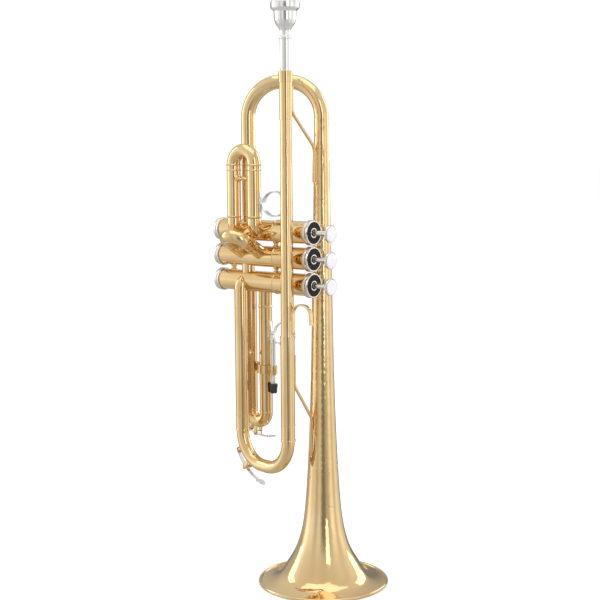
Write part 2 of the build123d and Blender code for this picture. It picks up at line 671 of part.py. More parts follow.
# ---------------------------------------------------------------- first valve slide
def finger_ring(centre, turn, width):
    """Thin ring for a finger, its hole turned about the vertical."""
    ring = Cylinder(RING_OUTER_RADIUS, width)
    ring -= Cylinder(RING_OUTER_RADIUS - RING_WALL, width + 1)
    ring = fillet(ring.edges(), 0.3)
    return Pos(*centre) * Rot(0, 0, turn) * Rot(90, 0, 0) * ring


def ring_on_leg(leg, centre, turn, width):
    """Finger ring with its post and the foot plate that is soldered along the leg."""
    reach = Vector(centre[0] - leg[0], centre[1] - leg[1], 0)
    direction = reach.normalized()
    leg_point = (leg[0], leg[1], centre[2])
    near = along(leg_point, direction, VALVE_OUTER_RADIUS - 0.4)
    far = along(leg_point, direction, reach.length - RING_OUTER_RADIUS + 0.5)
    low = centre[2] - RING_FOOT_LENGTH / 2
    plate = upright(leg, low, low + RING_FOOT_LENGTH, VALVE_OUTER_RADIUS + 0.8)
    angle = math.degrees(math.atan2(direction.Y, direction.X))
    patch = Pos(*along(leg_point, direction, VALVE_OUTER_RADIUS)) * Rot(0, 0, angle)
    plate = plate & (patch * Box(6, 5, RING_FOOT_LENGTH))
    piece = plate + cylinder(near, far, 2.0) + finger_ring(centre, turn, width)
    return piece - upright(leg, low - 5, low + RING_FOOT_LENGTH + 5, VALVE_OUTER_RADIUS)


def valve_sleeve(x, y, low, high, band_heights):
    """Outer slide tube with its raised bands."""
    bore = VALVE_INNER_RADIUS + FIT_CLEARANCE
    sleeve = pipe((x, y, low), (x, y, high), VALVE_OUTER_RADIUS, bore)
    for height in band_heights:
        sleeve += band(x, y, height, VALVE_OUTER_RADIUS - 0.1, VALVE_OUTER_RADIUS + 0.3, 1.2)
    return sleeve


def make_first_slide():
    inner_tubes = []
    sleeves = []
    for x in FIRST_X:
        path = elbow_path(x, FIRST_Y, FIRST_OPEN_Z, VALVE_Z[0])
        knuckle = bent_pipe(path, VALVE_OUTER_RADIUS, VALVE_BORE_RADIUS) - casing_blank(0)
        start = (x, FIRST_Y, FIRST_OPEN_Z)
        end = (x, FIRST_Y, FIRST_BOW_Z - 1)
        inner_tubes.append(knuckle + pipe(start, end, VALVE_INNER_RADIUS, VALVE_BORE_RADIUS))
        heights = (FIRST_OPEN_Z + 1.6, FIRST_BOW_Z - 5.8, FIRST_BOW_Z - 0.8)
        sleeves.append(valve_sleeve(x, FIRST_Y, FIRST_OPEN_Z + OPEN_GAP, FIRST_BOW_Z, heights))
    save_group(inner_tubes, "first_slide_inner_tubes")
    left, right = FIRST_X
    gap = (right - left) / 2 - VALVE_OUTER_RADIUS
    brace = turned_strut((left + 5, FIRST_Y, 383.0), (right - 5, FIRST_Y, 383.0), gap)
    for x in FIRST_X:
        brace -= upright((x, FIRST_Y), 370, 396, VALVE_OUTER_RADIUS)
    save_group(sleeves + [brace], "first_slide_sleeves")
    path = u_path(
        (left, FIRST_Y, FIRST_BOW_Z), (right, FIRST_Y, FIRST_BOW_Z), Z_AXIS, (right - left) / 2
    )
    save(bent_pipe(path, VALVE_OUTER_RADIUS - 0.1, BORE_RADIUS), "first_slide_bow")
    ring = ring_on_leg((right, FIRST_Y), FIRST_RING_CENTRE, FIRST_RING_TURN, FIRST_RING_WIDTH)
    save(ring, "thumb_ring")


# ---------------------------------------------------------------- second valve slide
def make_second_slide():
    z = VALVE_Z[1]
    outer_tubes = []
    legs = []
    trim = casing_blank(1) + upright((CROSSOVER_X, VALVE_Y), VALVE_Z[1], VALVE_Z[0], CROSSOVER_RADIUS)
    for x in SECOND_X:
        root = (x, VALVE_Y, z)
        end = along(root, SECOND_DIRECTION, SECOND_OUTER_END)
        tube = pipe(root, end, VALVE_OUTER_RADIUS, VALVE_INNER_RADIUS + FIT_CLEARANCE) - trim
        collar_start = along(root, SECOND_DIRECTION, SECOND_OUTER_END - 1.4)
        tube += pipe(collar_start, end, VALVE_OUTER_RADIUS + 0.35, VALVE_OUTER_RADIUS - 0.1)
        outer_tubes.append(tube)
        leg_start = along(root, SECOND_DIRECTION, 10.8)
        leg_end = along(root, SECOND_DIRECTION, SECOND_BOW_START)
        ferrule_start = along(root, SECOND_DIRECTION, SECOND_OUTER_END + OPEN_GAP)
        leg = pipe(leg_start, leg_end, VALVE_INNER_RADIUS, VALVE_BORE_RADIUS)
        legs.append(leg + pipe(ferrule_start, leg_end, VALVE_OUTER_RADIUS, VALVE_INNER_RADIUS - 0.1))
    left, right = SECOND_X
    distance = (SECOND_OUTER_END + CASING_RADIUS) / 2 + 0.5
    strut_start = along((left + 5, VALVE_Y, z), SECOND_DIRECTION, distance)
    strut_end = along((right - 5, VALVE_Y, z), SECOND_DIRECTION, distance)
    brace = turned_strut(strut_start, strut_end, (right - left) / 2 - VALVE_OUTER_RADIUS)
    for x in SECOND_X:
        root = (x, VALVE_Y, z)
        brace -= cylinder(root, along(root, SECOND_DIRECTION, 40), VALVE_OUTER_RADIUS)
    save_group(outer_tubes + [brace], "second_slide_outer_tubes")
    save_group(legs, "second_slide_legs")
    start = along((left, VALVE_Y, z), SECOND_DIRECTION, SECOND_BOW_START)
    end = along((right, VALVE_Y, z), SECOND_DIRECTION, SECOND_BOW_START)
    path = u_path(start, end, SECOND_DIRECTION, (right - left) / 2)
    save(bent_pipe(path, VALVE_OUTER_RADIUS - 0.1, VALVE_BORE_RADIUS), "second_slide_bow")


# ---------------------------------------------------------------- third valve slide
def make_third_slide():
    fixed_x, sleeve_x = THIRD_X
    leg_low = THIRD_BOW_Z + OPEN_GAP
    bore = VALVE_INNER_RADIUS + FIT_CLEARANCE
    path = elbow_path(fixed_x, THIRD_Y, leg_low, VALVE_Z[2])
    fixed = bent_pipe(path, VALVE_OUTER_RADIUS, bore) - casing_blank(2)
    fixed += band(
        fixed_x, THIRD_Y, leg_low + 1.0, VALVE_OUTER_RADIUS - 0.1, VALVE_OUTER_RADIUS + 0.3, 1.6
    )
    save(fixed, "third_slide_outer_tube")
    path = elbow_path(sleeve_x, THIRD_Y, THIRD_OPEN_Z, VALVE_Z[2])
    knuckle = bent_pipe(path, VALVE_OUTER_RADIUS, VALVE_BORE_RADIUS) - casing_blank(2)
    knuckle += pipe(
        (sleeve_x, THIRD_Y, leg_low), (sleeve_x, THIRD_Y, THIRD_OPEN_Z),
        VALVE_INNER_RADIUS, VALVE_BORE_RADIUS,
    )
    save(knuckle, "third_slide_inner_tube")
    heights = (THIRD_OPEN_Z - 1.8, THIRD_BOW_Z + 0.8)
    sleeve_top = THIRD_OPEN_Z - OPEN_GAP
    save(valve_sleeve(sleeve_x, THIRD_Y, THIRD_BOW_Z, sleeve_top, heights), "third_slide_sleeve")
    leg = pipe(
        (fixed_x, THIRD_Y, THIRD_BOW_Z), (fixed_x, THIRD_Y, THIRD_OPEN_Z - 10),
        VALVE_INNER_RADIUS, BORE_RADIUS - 0.2,
    )
    save(leg, "third_slide_inner_leg")
    path = u_path(
        (fixed_x, THIRD_Y, THIRD_BOW_Z), (sleeve_x, THIRD_Y, THIRD_BOW_Z), Z_AXIS * -1,
        (sleeve_x - fixed_x) / 2,
    )
    tube = VALVE_OUTER_RADIUS - 0.1
    key = key_layout(
        "third", (fixed_x, THIRD_Y, THIRD_BOW_Z), X_AXIS, (sleeve_x - fixed_x) / 2, tube, 60.0,
        (86.0, 5.6), (126.0, 12.0),
    )
    save(bent_pipe(path, tube, VALVE_BORE_RADIUS) - key_drill(key), "third_slide_bow")
    make_key_saddle(key)
    make_key_lever(key)
    ring = ring_on_leg(
        (sleeve_x, THIRD_Y), THIRD_RING_CENTRE, THIRD_RING_TURN, THIRD_RING_WIDTH
    )
    save(ring, "third_slide_ring")
    make_stop_rod(ring)
    make_stop_lug()
    near = Vector(*LOWER_XY, THIRD_BRACE_Z)
    far = Vector(fixed_x, THIRD_Y, THIRD_BRACE_Z)
    gap = ((far - near).length - MAIN_OUTER_RADIUS - VALVE_OUTER_RADIUS) / 2
    direction = (far - near).normalized()
    start = near + direction * (MAIN_OUTER_RADIUS - 1.4)
    end = far - direction * (VALVE_OUTER_RADIUS - 1.4)
    low = THIRD_BRACE_Z - 9
    high = THIRD_BRACE_Z + 9
    brace = turned_strut(start, end, gap)
    brace -= upright(LOWER_XY, low, high, MAIN_OUTER_RADIUS)
    brace -= upright((fixed_x, THIRD_Y), low, high, VALVE_OUTER_RADIUS)
    save(brace, "third_slide_brace")


def make_stop_rod(ring):
    """Rod that travels with the sleeve through a fixed lug and limits how far the slide draws."""
    sleeve_xy = (THIRD_X[1], THIRD_Y)
    rod = upright(ROD_XY, ROD_BOTTOM_Z, ROD_TOP_Z, ROD_RADIUS)
    rod += upright(ROD_XY, ROD_HOLDER_Z - 2.0, ROD_HOLDER_Z + 3.0, 3.3)
    rod += cylinder((*sleeve_xy, ROD_HOLDER_Z), (*ROD_XY, ROD_HOLDER_Z), 1.8)
    rod -= upright(sleeve_xy, ROD_HOLDER_Z - 5, ROD_HOLDER_Z + 5, VALVE_OUTER_RADIUS)
    save(rod - ring, "stop_rod")
    bumper = [
        (ROD_RADIUS, ROD_BOTTOM_Z), (3.0, ROD_BOTTOM_Z), (3.5, ROD_BOTTOM_Z + 0.8),
        (3.6, BUMPER_TOP_Z - 3.4), (4.0, BUMPER_TOP_Z - 3.0), (4.0, BUMPER_TOP_Z - 0.4),
        (3.7, BUMPER_TOP_Z), (ROD_RADIUS, BUMPER_TOP_Z),
    ]
    save(revolved_z(bumper, *ROD_XY), "stop_rod_bumper")


def make_stop_lug():
    """Fixed collar round the sleeve, tied behind it to the outer tube, with the eye for the rod."""
    low, high = LUG_Z
    height = high - low
    clear = VALVE_OUTER_RADIUS + 0.3 + OPEN_GAP
    fixed_x, sleeve_x = THIRD_X
    on_floor = (Align.CENTER, Align.CENTER, Align.MIN)
    saddle = upright((fixed_x, THIRD_Y), low, high, VALVE_OUTER_RADIUS + 1.1)
    saddle = saddle & (Pos(fixed_x, THIRD_Y + 5, low) * Box(20, 10, height, align=on_floor))
    strap = Pos((fixed_x + sleeve_x) / 2, THIRD_Y + clear + 0.7, low) * Box(
        sleeve_x - fixed_x, 1.4, height, align=on_floor
    )
    lug = saddle + strap + upright((sleeve_x, THIRD_Y), low, high, clear + 1.3)
    lug += upright(ROD_XY, low, high, 3.8)
    lug -= upright((fixed_x, THIRD_Y), low - 1, high + 1, VALVE_OUTER_RADIUS)
    lug -= upright((sleeve_x, THIRD_Y), low - 1, high + 1, clear)
    lug -= upright(ROD_XY, low - 1, high + 1, ROD_RADIUS + OPEN_GAP)
    save(lug, "stop_lug")


# ---------------------------------------------------------------- braces and hook
def bell_brace(points, flange_z, flange_half):
    """Bent rod from the leadpipe side down to the bell, with an oval flange hugging the bell."""
    rod = bent(FilletPolyline(*points, radius=BRACE_CORNER), BRACE_ROD_RADIUS)
    foot = Vector(points[-1][0], points[-1][1], 0).normalized()
    frame = Plane((0, 0, flange_z), x_dir=foot.cross(Z_AXIS), z_dir=foot)
    oval = frame * extrude(Ellipse(5.0, flange_half), amount=20)
    flange = bell_bar(0.9) & oval
    return rod + flange - bell_bar()


def make_braces():
    upper = [(-6.9, -34.0, 466.0), (-6.9, -34.0, 443.0), (-1.6, -8.2, 411.0), (-1.9, -9.0, 380.0)]
    brace = bell_brace(upper, 393.0, 16.0) - upright(LEAD_XY, 430, 470, RECEIVER_RADIUS)
    save(brace, "upper_brace")
    lower = [(-6.7, -33.3, 222.0), (-6.7, -33.3, 193.0), (-2.7, -13.2, 160.0), (-2.95, -14.6, 124.0)]
    brace = bell_brace(lower, 134.0, 16.0) - upright(LEAD_XY, 180, 230, MAIN_OUTER_RADIUS)
    save(brace, "lower_brace")


def make_finger_hook():
    """Flat bent hook for the little finger, on a foot plate along the leadpipe."""
    x, y = LEAD_XY
    outline = [(-1.4, y, 244.0), (-1.4, y, 270.0), (18.5, y, 270.0), (19.8, y, 252.5)]
    path = FilletPolyline(*outline, radius=9)
    frame = Plane(path @ 0, x_dir=Y_AXIS, z_dir=path % 0)
    hook = sweep(frame * RectangleRounded(HOOK_WIDTH, HOOK_THICKNESS, 0.6), path=path)
    plate = upright(LEAD_XY, 242, 268, MAIN_OUTER_RADIUS + 0.5)
    plate = plate & (Pos(x + 6, y, 255) * Box(6, HOOK_FOOT_WIDTH, 26))
    save(hook + plate - lead_bar(), "finger_hook")


def main():
    make_bell()
    make_valves()
    make_leadpipe()
    make_mouthpiece()
    make_main_tubes()
    make_main_slide()
    make_first_slide()
    make_second_slide()
    make_third_slide()
    make_braces()
    make_finger_hook()


main()
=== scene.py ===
import json
import math
import bmesh
import bpy
from mathutils import Matrix, Vector


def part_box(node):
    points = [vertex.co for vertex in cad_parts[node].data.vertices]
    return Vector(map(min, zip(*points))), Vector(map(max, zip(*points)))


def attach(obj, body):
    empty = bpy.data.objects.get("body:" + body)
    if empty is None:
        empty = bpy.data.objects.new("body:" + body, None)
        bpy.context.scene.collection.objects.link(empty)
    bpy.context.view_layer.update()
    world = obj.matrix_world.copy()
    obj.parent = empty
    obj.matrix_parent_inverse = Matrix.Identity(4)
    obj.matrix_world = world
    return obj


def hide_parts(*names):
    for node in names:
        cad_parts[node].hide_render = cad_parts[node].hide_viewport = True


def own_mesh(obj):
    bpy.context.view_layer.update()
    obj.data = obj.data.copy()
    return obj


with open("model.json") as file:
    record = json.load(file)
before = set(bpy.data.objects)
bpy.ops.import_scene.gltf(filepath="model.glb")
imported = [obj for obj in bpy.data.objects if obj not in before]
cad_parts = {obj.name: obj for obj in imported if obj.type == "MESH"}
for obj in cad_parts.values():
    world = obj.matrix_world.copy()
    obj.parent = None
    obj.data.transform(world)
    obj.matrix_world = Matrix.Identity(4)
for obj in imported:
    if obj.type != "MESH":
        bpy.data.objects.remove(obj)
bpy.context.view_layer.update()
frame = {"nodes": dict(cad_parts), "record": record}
BODY_OF = {n: b for b, names in frame["record"]["behaviour"]["bodies"].items() for n in names}
SLOT_OF = {s["node"]: s["material_slot"] for s in frame["record"]["subparts"]}
MM = 0.001
VALVES = (1, 2, 3)

# Small details, in mm.
SPRING_RADIUS = 5.6
SPRING_WIRE = 0.4
SPRING_TURNS = 6.5
SPRING_POINTS = 161
SPRING_END_GAP = 0.4
TOP_KNURL = {"inset": 5.7, "length": 1.9, "radius": 11.6, "root": 11.0, "ridges": 72, "depth": 0.25}
BOTTOM_KNURL = {"inset": 1.7, "length": 1.3, "radius": 11.0, "root": 10.4, "ridges": 64, "depth": 0.25}
KNURL_CHAMFER = 0.2
NUMBER_SIZE = 6.2
NUMBER_RELIEF = 0.06
NUMBER_X = -20.0
NUMBER_OUT = 10.27
THREAD_PITCH = 0.62
THREAD_ROOT = 2.32
THREAD_CREST = 2.5
ROD_RADIUS = 2.2

# Camera and studio, in metres and degrees.
CAMERA_AZIMUTH = 38.3
CAMERA_YAW = 1.006
CAMERA_PITCH = 6.86
CAMERA_ROLL = 0.37
CAMERA_DISTANCE = 1.178
CAMERA_HEIGHT = 0.412
SENSOR_WIDTH = 36.0
LENS = 76.38
FLOOR_HALF = 30.0
FLOOR_DROP = 0.0002
LIGHT_TARGET = (-0.03, -0.02, 0.27)
# Name, place, width, height, power and colour of each soft light.
LIGHTS = [
    ("key", (-1.5, -0.55, 0.75), 0.5, 1.2, 2.6, (1.0, 0.985, 0.96)),
    ("fill", (1.25, -0.75, 0.6), 0.40, 1.2, 2.1, (0.97, 0.985, 1.0)),
    ("back", (0.35, 1.4, 0.75), 0.7, 1.1, 3.4, (1.0, 1.0, 1.0)),
    ("top", (0.0, -0.1, 1.7), 1.6, 1.6, 6.0, (1.0, 1.0, 1.0)),
]
# Light tent panels seen in gloss: how many round the object, turn, and depth of each wave.
TENT_PANELS = [(1.0, 2.47, 0.15), (2.0, 0.233, 0.50), (5.0, 1.9, 0.24), (9.0, 0.4, 0.16)]
TENT_LEVEL = 0.69
TENT_RISE = 0.15
TENT_DARKEST = 0.26
TENT_BRIGHTEST = 1.5
WHITE_LEVEL = 1.12


# ---------------------------------------------------------------- materials
class Shader:
    """Small wrapper that keeps the node building below short."""

    def __init__(self, name):
        self.material = bpy.data.materials.new(name)
        self.material.use_nodes = True
        self.nodes = self.material.node_tree.nodes
        self.links = self.material.node_tree.links
        self.bsdf = self.nodes["Principled BSDF"]
        self.coords = self.nodes.new("ShaderNodeTexCoord").outputs["Object"]

    def set(self, **values):
        for key, value in values.items():
            self.bsdf.inputs[key.replace("_", " ")].default_value = value

    def scaled(self, scale):
        mapping = self.nodes.new("ShaderNodeMapping")
        mapping.inputs["Scale"].default_value = scale
        self.links.new(self.coords, mapping.inputs["Vector"])
        return mapping.outputs["Vector"]

    def noise(self, scale, detail=3.0, rough=0.5, stretch=None, distortion=0.0):
        node = self.nodes.new("ShaderNodeTexNoise")
        node.inputs["Scale"].default_value = scale
        node.inputs["Detail"].default_value = detail
        node.inputs["Roughness"].default_value = rough
        node.inputs["Distortion"].default_value = distortion
        source = self.scaled(stretch) if stretch else self.coords
        self.links.new(source, node.inputs["Vector"])
        return node.outputs["Fac"]

    def remap(self, value, low, high, to_low=0.0, to_high=1.0):
        node = self.nodes.new("ShaderNodeMapRange")
        node.inputs["From Min"].default_value = low
        node.inputs["From Max"].default_value = high
        node.inputs["To Min"].default_value = to_low
        node.inputs["To Max"].default_value = to_high
        self.links.new(value, node.inputs["Value"])
        return node.outputs["Result"]

    def math(self, kind, a, b):
        node = self.nodes.new("ShaderNodeMath")
        node.operation = kind
        for index, value in enumerate((a, b)):
            if isinstance(value, float):
                node.inputs[index].default_value = value
            else:
                self.links.new(value, node.inputs[index])
        return node.outputs[0]

    def mix(self, factor, a, b):
        node = self.nodes.new("ShaderNodeMix")
        node.data_type = "RGBA"
        self.links.new(factor, node.inputs["Factor"])
        for socket, value in ((node.inputs[6], a), (node.inputs[7], b)):
            if isinstance(value, tuple):
                socket.default_value = (*value, 1.0)
            else:
                self.links.new(value, socket)
        return node.outputs[2]

    def connect(self, value, socket):
        self.links.new(value, self.bsdf.inputs[socket])

    def bump(self, height, strength, distance):
        node = self.nodes.new("ShaderNodeBump")
        node.inputs["Strength"].default_value = strength
        node.inputs["Distance"].default_value = distance
        self.links.new(height, node.inputs["Height"])
        self.links.new(node.outputs["Normal"], self.bsdf.inputs["Normal"])


def metal(name, light, deep, tarnish, rough, coat=0.0):
    """Polished metal: slow colour drift, tarnish spots, uneven gloss, fine drawn scratches."""
    s = Shader(name)
    s.set(Metallic=1.0, Coat_Weight=coat, Coat_Roughness=0.06, Coat_IOR=1.45)
    drift = s.remap(s.noise(22.0, 3.0), 0.32, 0.68)
    body = s.mix(drift, light, deep)
    cloud = s.noise(75.0, 7.0, 0.62, distortion=0.6)
    stain = s.remap(cloud, 0.66, 0.78)
    freckle = s.remap(s.noise(900.0, 2.0, 0.5), 0.72, 0.78, 0.0, 0.6)
    worn = s.math("MAXIMUM", stain, freckle)
    s.connect(s.mix(s.math("MULTIPLY", worn, 0.75), body, tarnish), "Base Color")
    smudge = s.remap(s.noise(160.0, 5.0, 0.6), 0.35, 0.75, rough, rough * 2.1)
    s.connect(s.math("ADD", smudge, s.math("MULTIPLY", worn, 0.16)), "Roughness")
    scratches = s.noise(1.0, 2.0, 0.4, stretch=(700, 700, 40))
    s.bump(s.math("ADD", scratches, s.math("MULTIPLY", cloud, 0.3)), 0.035, 0.00004)
    return s.material


def plain(name, light, deep, rough, scale, bump, distance, sheen=0.0):
    """Non-metal with a mottled colour, uneven gloss and a fine surface grain."""
    s = Shader(name)
    s.set(Metallic=0.0, Sheen_Weight=sheen)
    cloud = s.noise(scale, 5.0, 0.6)
    s.connect(s.mix(s.remap(cloud, 0.3, 0.7), light, deep), "Base Color")
    s.connect(s.remap(s.noise(scale * 2.3, 3.0), 0.3, 0.7, rough * 0.8, rough * 1.25), "Roughness")
    s.bump(s.noise(scale * 3.0, 4.0, 0.65), bump, distance)
    return s.material


def pearl_material():
    """Mother of pearl: wavy layers that drift between cream, blue and rose."""
    s = Shader("pearl")
    s.set(Metallic=0.0, Coat_Weight=0.8, Coat_Roughness=0.03, Specular_IOR_Level=0.7)
    wave = s.noise(170.0, 4.0, 0.55, stretch=(1.0, 2.6, 1.0), distortion=1.6)
    tint = s.mix(s.remap(wave, 0.35, 0.55), (0.66, 0.67, 0.74), (0.76, 0.75, 0.75))
    rose = s.remap(s.noise(95.0, 3.0, 0.5, distortion=2.2), 0.55, 0.72)
    s.connect(s.mix(rose, tint, (0.74, 0.66, 0.72)), "Base Color")
    s.connect(s.remap(wave, 0.3, 0.7, 0.10, 0.22), "Roughness")
    s.bump(wave, 0.06, 0.00008)
    return s.material


# Metals: light tone, deep tone, tarnish, roughness, clear coat.
METALS = {
    "lacquer": ((0.88, 0.66, 0.35), (0.78, 0.54, 0.25), (0.42, 0.24, 0.09), 0.06, 0.4),
    "silver_plate": ((0.93, 0.92, 0.90), (0.85, 0.84, 0.81), (0.50, 0.43, 0.33), 0.06, 0.0),
    "nickel_plate": ((0.83, 0.80, 0.75), (0.72, 0.69, 0.63), (0.40, 0.35, 0.28), 0.09, 0.0),
    "spring_steel": ((0.62, 0.62, 0.63), (0.5, 0.5, 0.5), (0.3, 0.25, 0.2), 0.2, 0.0),
}
# Others: light tone, deep tone, roughness, mottle scale, bump strength, bump distance, sheen.
PLAINS = {
    "black_rubber": ((0.018, 0.018, 0.018), (0.04, 0.038, 0.036), 0.55, 300.0, 0.25, 0.0001, 0.0),
    "black_nylon": ((0.02, 0.02, 0.02), (0.04, 0.04, 0.04), 0.4, 200.0, 0.1, 0.0001, 0.0),
    "black_felt": ((0.004, 0.004, 0.005), (0.014, 0.013, 0.014), 0.95, 1500.0, 0.8, 0.0003, 0.05),
    "cork": ((0.52, 0.33, 0.17), (0.33, 0.19, 0.09), 0.8, 1200.0, 0.7, 0.0002, 0.0),
    "engraved": ((0.20, 0.11, 0.04), (0.30, 0.17, 0.07), 0.4, 600.0, 0.1, 0.0001, 0.0),
}
MATERIALS = {name: metal(name, *values) for name, values in METALS.items()}
MATERIALS.update({name: plain(name, *values) for name, values in PLAINS.items()})
MATERIALS["pearl"] = pearl_material()


# ---------------------------------------------------------------- geometry helpers
def finish_piece(piece, node, slot_name):
    """Give a piece the material of its finish slot, and its body."""
    piece.data.materials.clear()
    piece.data.materials.append(MATERIALS[slot_name])
    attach(piece, BODY_OF[node])
    return piece


def smooth_copy(node):
    """Welded, smoothly shaded mesh that stands for a node."""
    mesh = frame["nodes"][node].data.copy()
    work = bmesh.new()
    work.from_mesh(mesh)
    bmesh.ops.remove_doubles(work, verts=work.verts, dist=2e-6)
    bmesh.ops.dissolve_degenerate(work, edges=work.edges, dist=1e-6)
    work.to_mesh(mesh)
    work.free()
    mesh.shade_smooth()
    mesh.set_sharp_from_angle(angle=math.radians(28.0))
    piece = bpy.data.objects.new(node + ".skin", mesh)
    bpy.context.scene.collection.objects.link(piece)
    even = piece.modifiers.new("even_normals", "WEIGHTED_NORMAL")
    even.weight = 100
    even.keep_sharp = True
    finish_piece(piece, node, SLOT_OF[node])
    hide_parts(node)


def mesh_piece(name, verts, faces, node, slot_name, angle=35.0):
    """New mesh piece that rides with a node's body."""
    mesh = bpy.data.meshes.new(name)
    mesh.from_pydata([tuple(v) for v in verts], [], faces)
    mesh.validate()
    mesh.shade_smooth()
    mesh.set_sharp_from_angle(angle=math.radians(angle))
    piece = bpy.data.objects.new(name, mesh)
    bpy.context.scene.collection.objects.link(piece)
    return finish_piece(piece, node, slot_name)


def axes_for(direction):
    """Two unit vectors square to a direction."""
    direction = Vector(direction).normalized()
    helper = Vector((0, 0, 1)) if abs(direction.z) < 0.9 else Vector((1, 0, 0))
    first = direction.cross(helper).normalized()
    return first, direction.cross(first).normalized()


def lathe(name, profile, origin, direction, node, slot_name, segments=48, ridges=None):
    """Turned ring or knob: profile is (distance along, radius) in mm, closed on itself.

    ridges is (count, depth in mm, first row, last row): straight knurling on those rows."""
    direction = Vector(direction).normalized()
    first, second = axes_for(direction)
    if ridges:
        segments = ridges[0] * 4
    verts = []
    for row, (place, radius) in enumerate(profile):
        for step in range(segments):
            angle = 2 * math.pi * step / segments
            grow = 0.0
            if ridges and ridges[2] <= row <= ridges[3]:
                grow = -ridges[1] * (0.0, 0.6, 1.0, 0.6)[step % 4]
            spoke = first * math.cos(angle) + second * math.sin(angle)
            verts.append(Vector(origin) + (direction * place + spoke * (radius + grow)) * MM)
    rows = len(profile)
    faces = []
    for row in range(rows):
        for step in range(segments):
            a = row * segments + step
            b = row * segments + (step + 1) % segments
            c = ((row + 1) % rows) * segments + (step + 1) % segments
            d = ((row + 1) % rows) * segments + step
            faces.append((a, b, c, d))
    return mesh_piece(name, verts, faces, node, slot_name, 50.0)


def wire(name, points, radius, node, slot_name, sides=12):
    """Round wire through a list of points, all in mm."""
    points = [Vector(p) for p in points]
    verts = []
    faces = []
    first = None
    for index, point in enumerate(points):
        ahead = points[min(index + 1, len(points) - 1)] - points[max(index - 1, 0)]
        ahead.normalize()
        if first is None:
            first, _ = axes_for(ahead)
        first = (first - ahead * first.dot(ahead)).normalized()
        second = ahead.cross(first)
        for side in range(sides):
            angle = 2 * math.pi * side / sides
            verts.append((point + (first * math.cos(angle) + second * math.sin(angle)) * radius) * MM)
    for index in range(len(points) - 1):
        for side in range(sides):
            a = index * sides + side
            b = index * sides + (side + 1) % sides
            faces.append((a, b, b + sides, a + sides))
    faces.append(tuple(reversed(range(sides))))
    faces.append(tuple(range(len(verts) - sides, len(verts))))
    return mesh_piece(name, verts, faces, node, slot_name)


def middle_of(node):
    low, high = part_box(node)
    return (low + high) / 2


for node in sorted(frame["nodes"]):
    if node != "valve_springs":
        smooth_copy(node)


# ---------------------------------------------------------------- small details
def valve_springs():
    """One coil spring in each piston, from the guide to the underside of the barrel's top."""
    low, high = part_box("valve_springs")
    start = low.x / MM + SPRING_END_GAP
    length = high.x / MM - SPRING_END_GAP - start
    for valve in VALVES:
        centre = middle_of(f"valve_casing_{valve}") / MM
        points = []
        for step in range(SPRING_POINTS):
            share = step / (SPRING_POINTS - 1)
            angle = 2 * math.pi * SPRING_TURNS * share
            points.append((
                start + length * share,
                centre.y + SPRING_RADIUS * math.cos(angle),
                centre.z + SPRING_RADIUS * math.sin(angle),
            ))
        spring = wire(f"valve_spring_{valve}", points, SPRING_WIRE, "valve_springs", "spring_steel", 8)
        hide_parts("valve_springs")
        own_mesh(spring)


def knurled_band(name, node, origin, band):
    """Straight-knurled band round the inner end of a valve cap."""
    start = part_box(node)[1].x / MM - band["inset"]
    end = start + band["length"]
    shoulder = band["radius"] - KNURL_CHAMFER
    profile = [
        (start, band["root"]), (start, shoulder), (start + KNURL_CHAMFER, band["radius"]),
        (end - KNURL_CHAMFER, band["radius"]), (end, shoulder), (end, band["root"]),
    ]
    ridges = (band["ridges"], band["depth"], 2, 3)
    lathe(name, profile, origin, (1, 0, 0), node, "nickel_plate", ridges=ridges)


def valve_number(valve, centre):
    """The valve's number on the side of its casing that faces the leadpipe."""
    name = f"valve_number_{valve}"
    number = bpy.data.curves.new(name, "FONT")
    number.body = str(valve)
    number.size = NUMBER_SIZE * MM
    number.extrude = NUMBER_RELIEF * MM
    number.align_x = "CENTER"
    number.align_y = "CENTER"
    text = bpy.data.objects.new(name, number)
    text.matrix_world = Matrix((
        (1, 0, 0, NUMBER_X * MM),
        (0, 0, -1, centre.y - NUMBER_OUT * MM),
        (0, 1, 0, centre.z),
        (0, 0, 0, 1),
    ))
    bpy.context.scene.collection.objects.link(text)
    number.materials.append(MATERIALS["engraved"])
    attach(text, BODY_OF[f"valve_casing_{valve}"])


def valve_details():
    """Knurled bands on the caps, and the valve numbers."""
    for valve in VALVES:
        centre = middle_of(f"valve_casing_{valve}")
        origin = Vector((0, centre.y, centre.z))
        knurled_band(f"top_cap_knurl_{valve}", "top_caps", origin, TOP_KNURL)
        knurled_band(f"bottom_cap_knurl_{valve}", "bottom_caps", origin, BOTTOM_KNURL)
        valve_number(valve, centre)


def rod_details():
    """Thread on the stop rod between bumper and collar, and a nut on its top."""
    low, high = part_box("stop_rod_bumper")
    axis = ((low.x + high.x) / 2, (low.y + high.y) / 2, 0)
    start = high.z / MM + 0.6
    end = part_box("stop_lug")[0].z / MM - 0.8
    profile = []
    place = start
    while place < end:
        profile += [(place, THREAD_ROOT), (place + 0.25, THREAD_CREST), (place + 0.5, THREAD_ROOT)]
        place += THREAD_PITCH
    profile += [(end, ROD_RADIUS), (start, ROD_RADIUS)]
    lathe("stop_rod_thread", profile, axis, (0, 0, 1), "stop_rod", "silver_plate")
    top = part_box("stop_rod")[1].z / MM
    profile = [(top, 0.2), (top, 3.0), (top + 0.5, 2.9), (top + 0.9, 2.2), (top + 1.0, 0.2)]
    lathe("stop_rod_nut", profile, axis, (0, 0, 1), "stop_rod", "silver_plate")


valve_springs()
valve_details()
rod_details()


# ---------------------------------------------------------------- stage
def soft_light(name, place, width, height, power, colour):
    light = bpy.data.lights.new(name, "AREA")
    light.energy = power
    light.color = colour
    light.shape = "RECTANGLE"
    light.size = width
    light.size_y = height
    lamp = bpy.data.objects.new(name, light)
    lamp.location = place
    lamp.rotation_euler = (Vector(LIGHT_TARGET) - Vector(place)).to_track_quat("-Z", "Y").to_euler()
    bpy.context.scene.collection.objects.link(lamp)


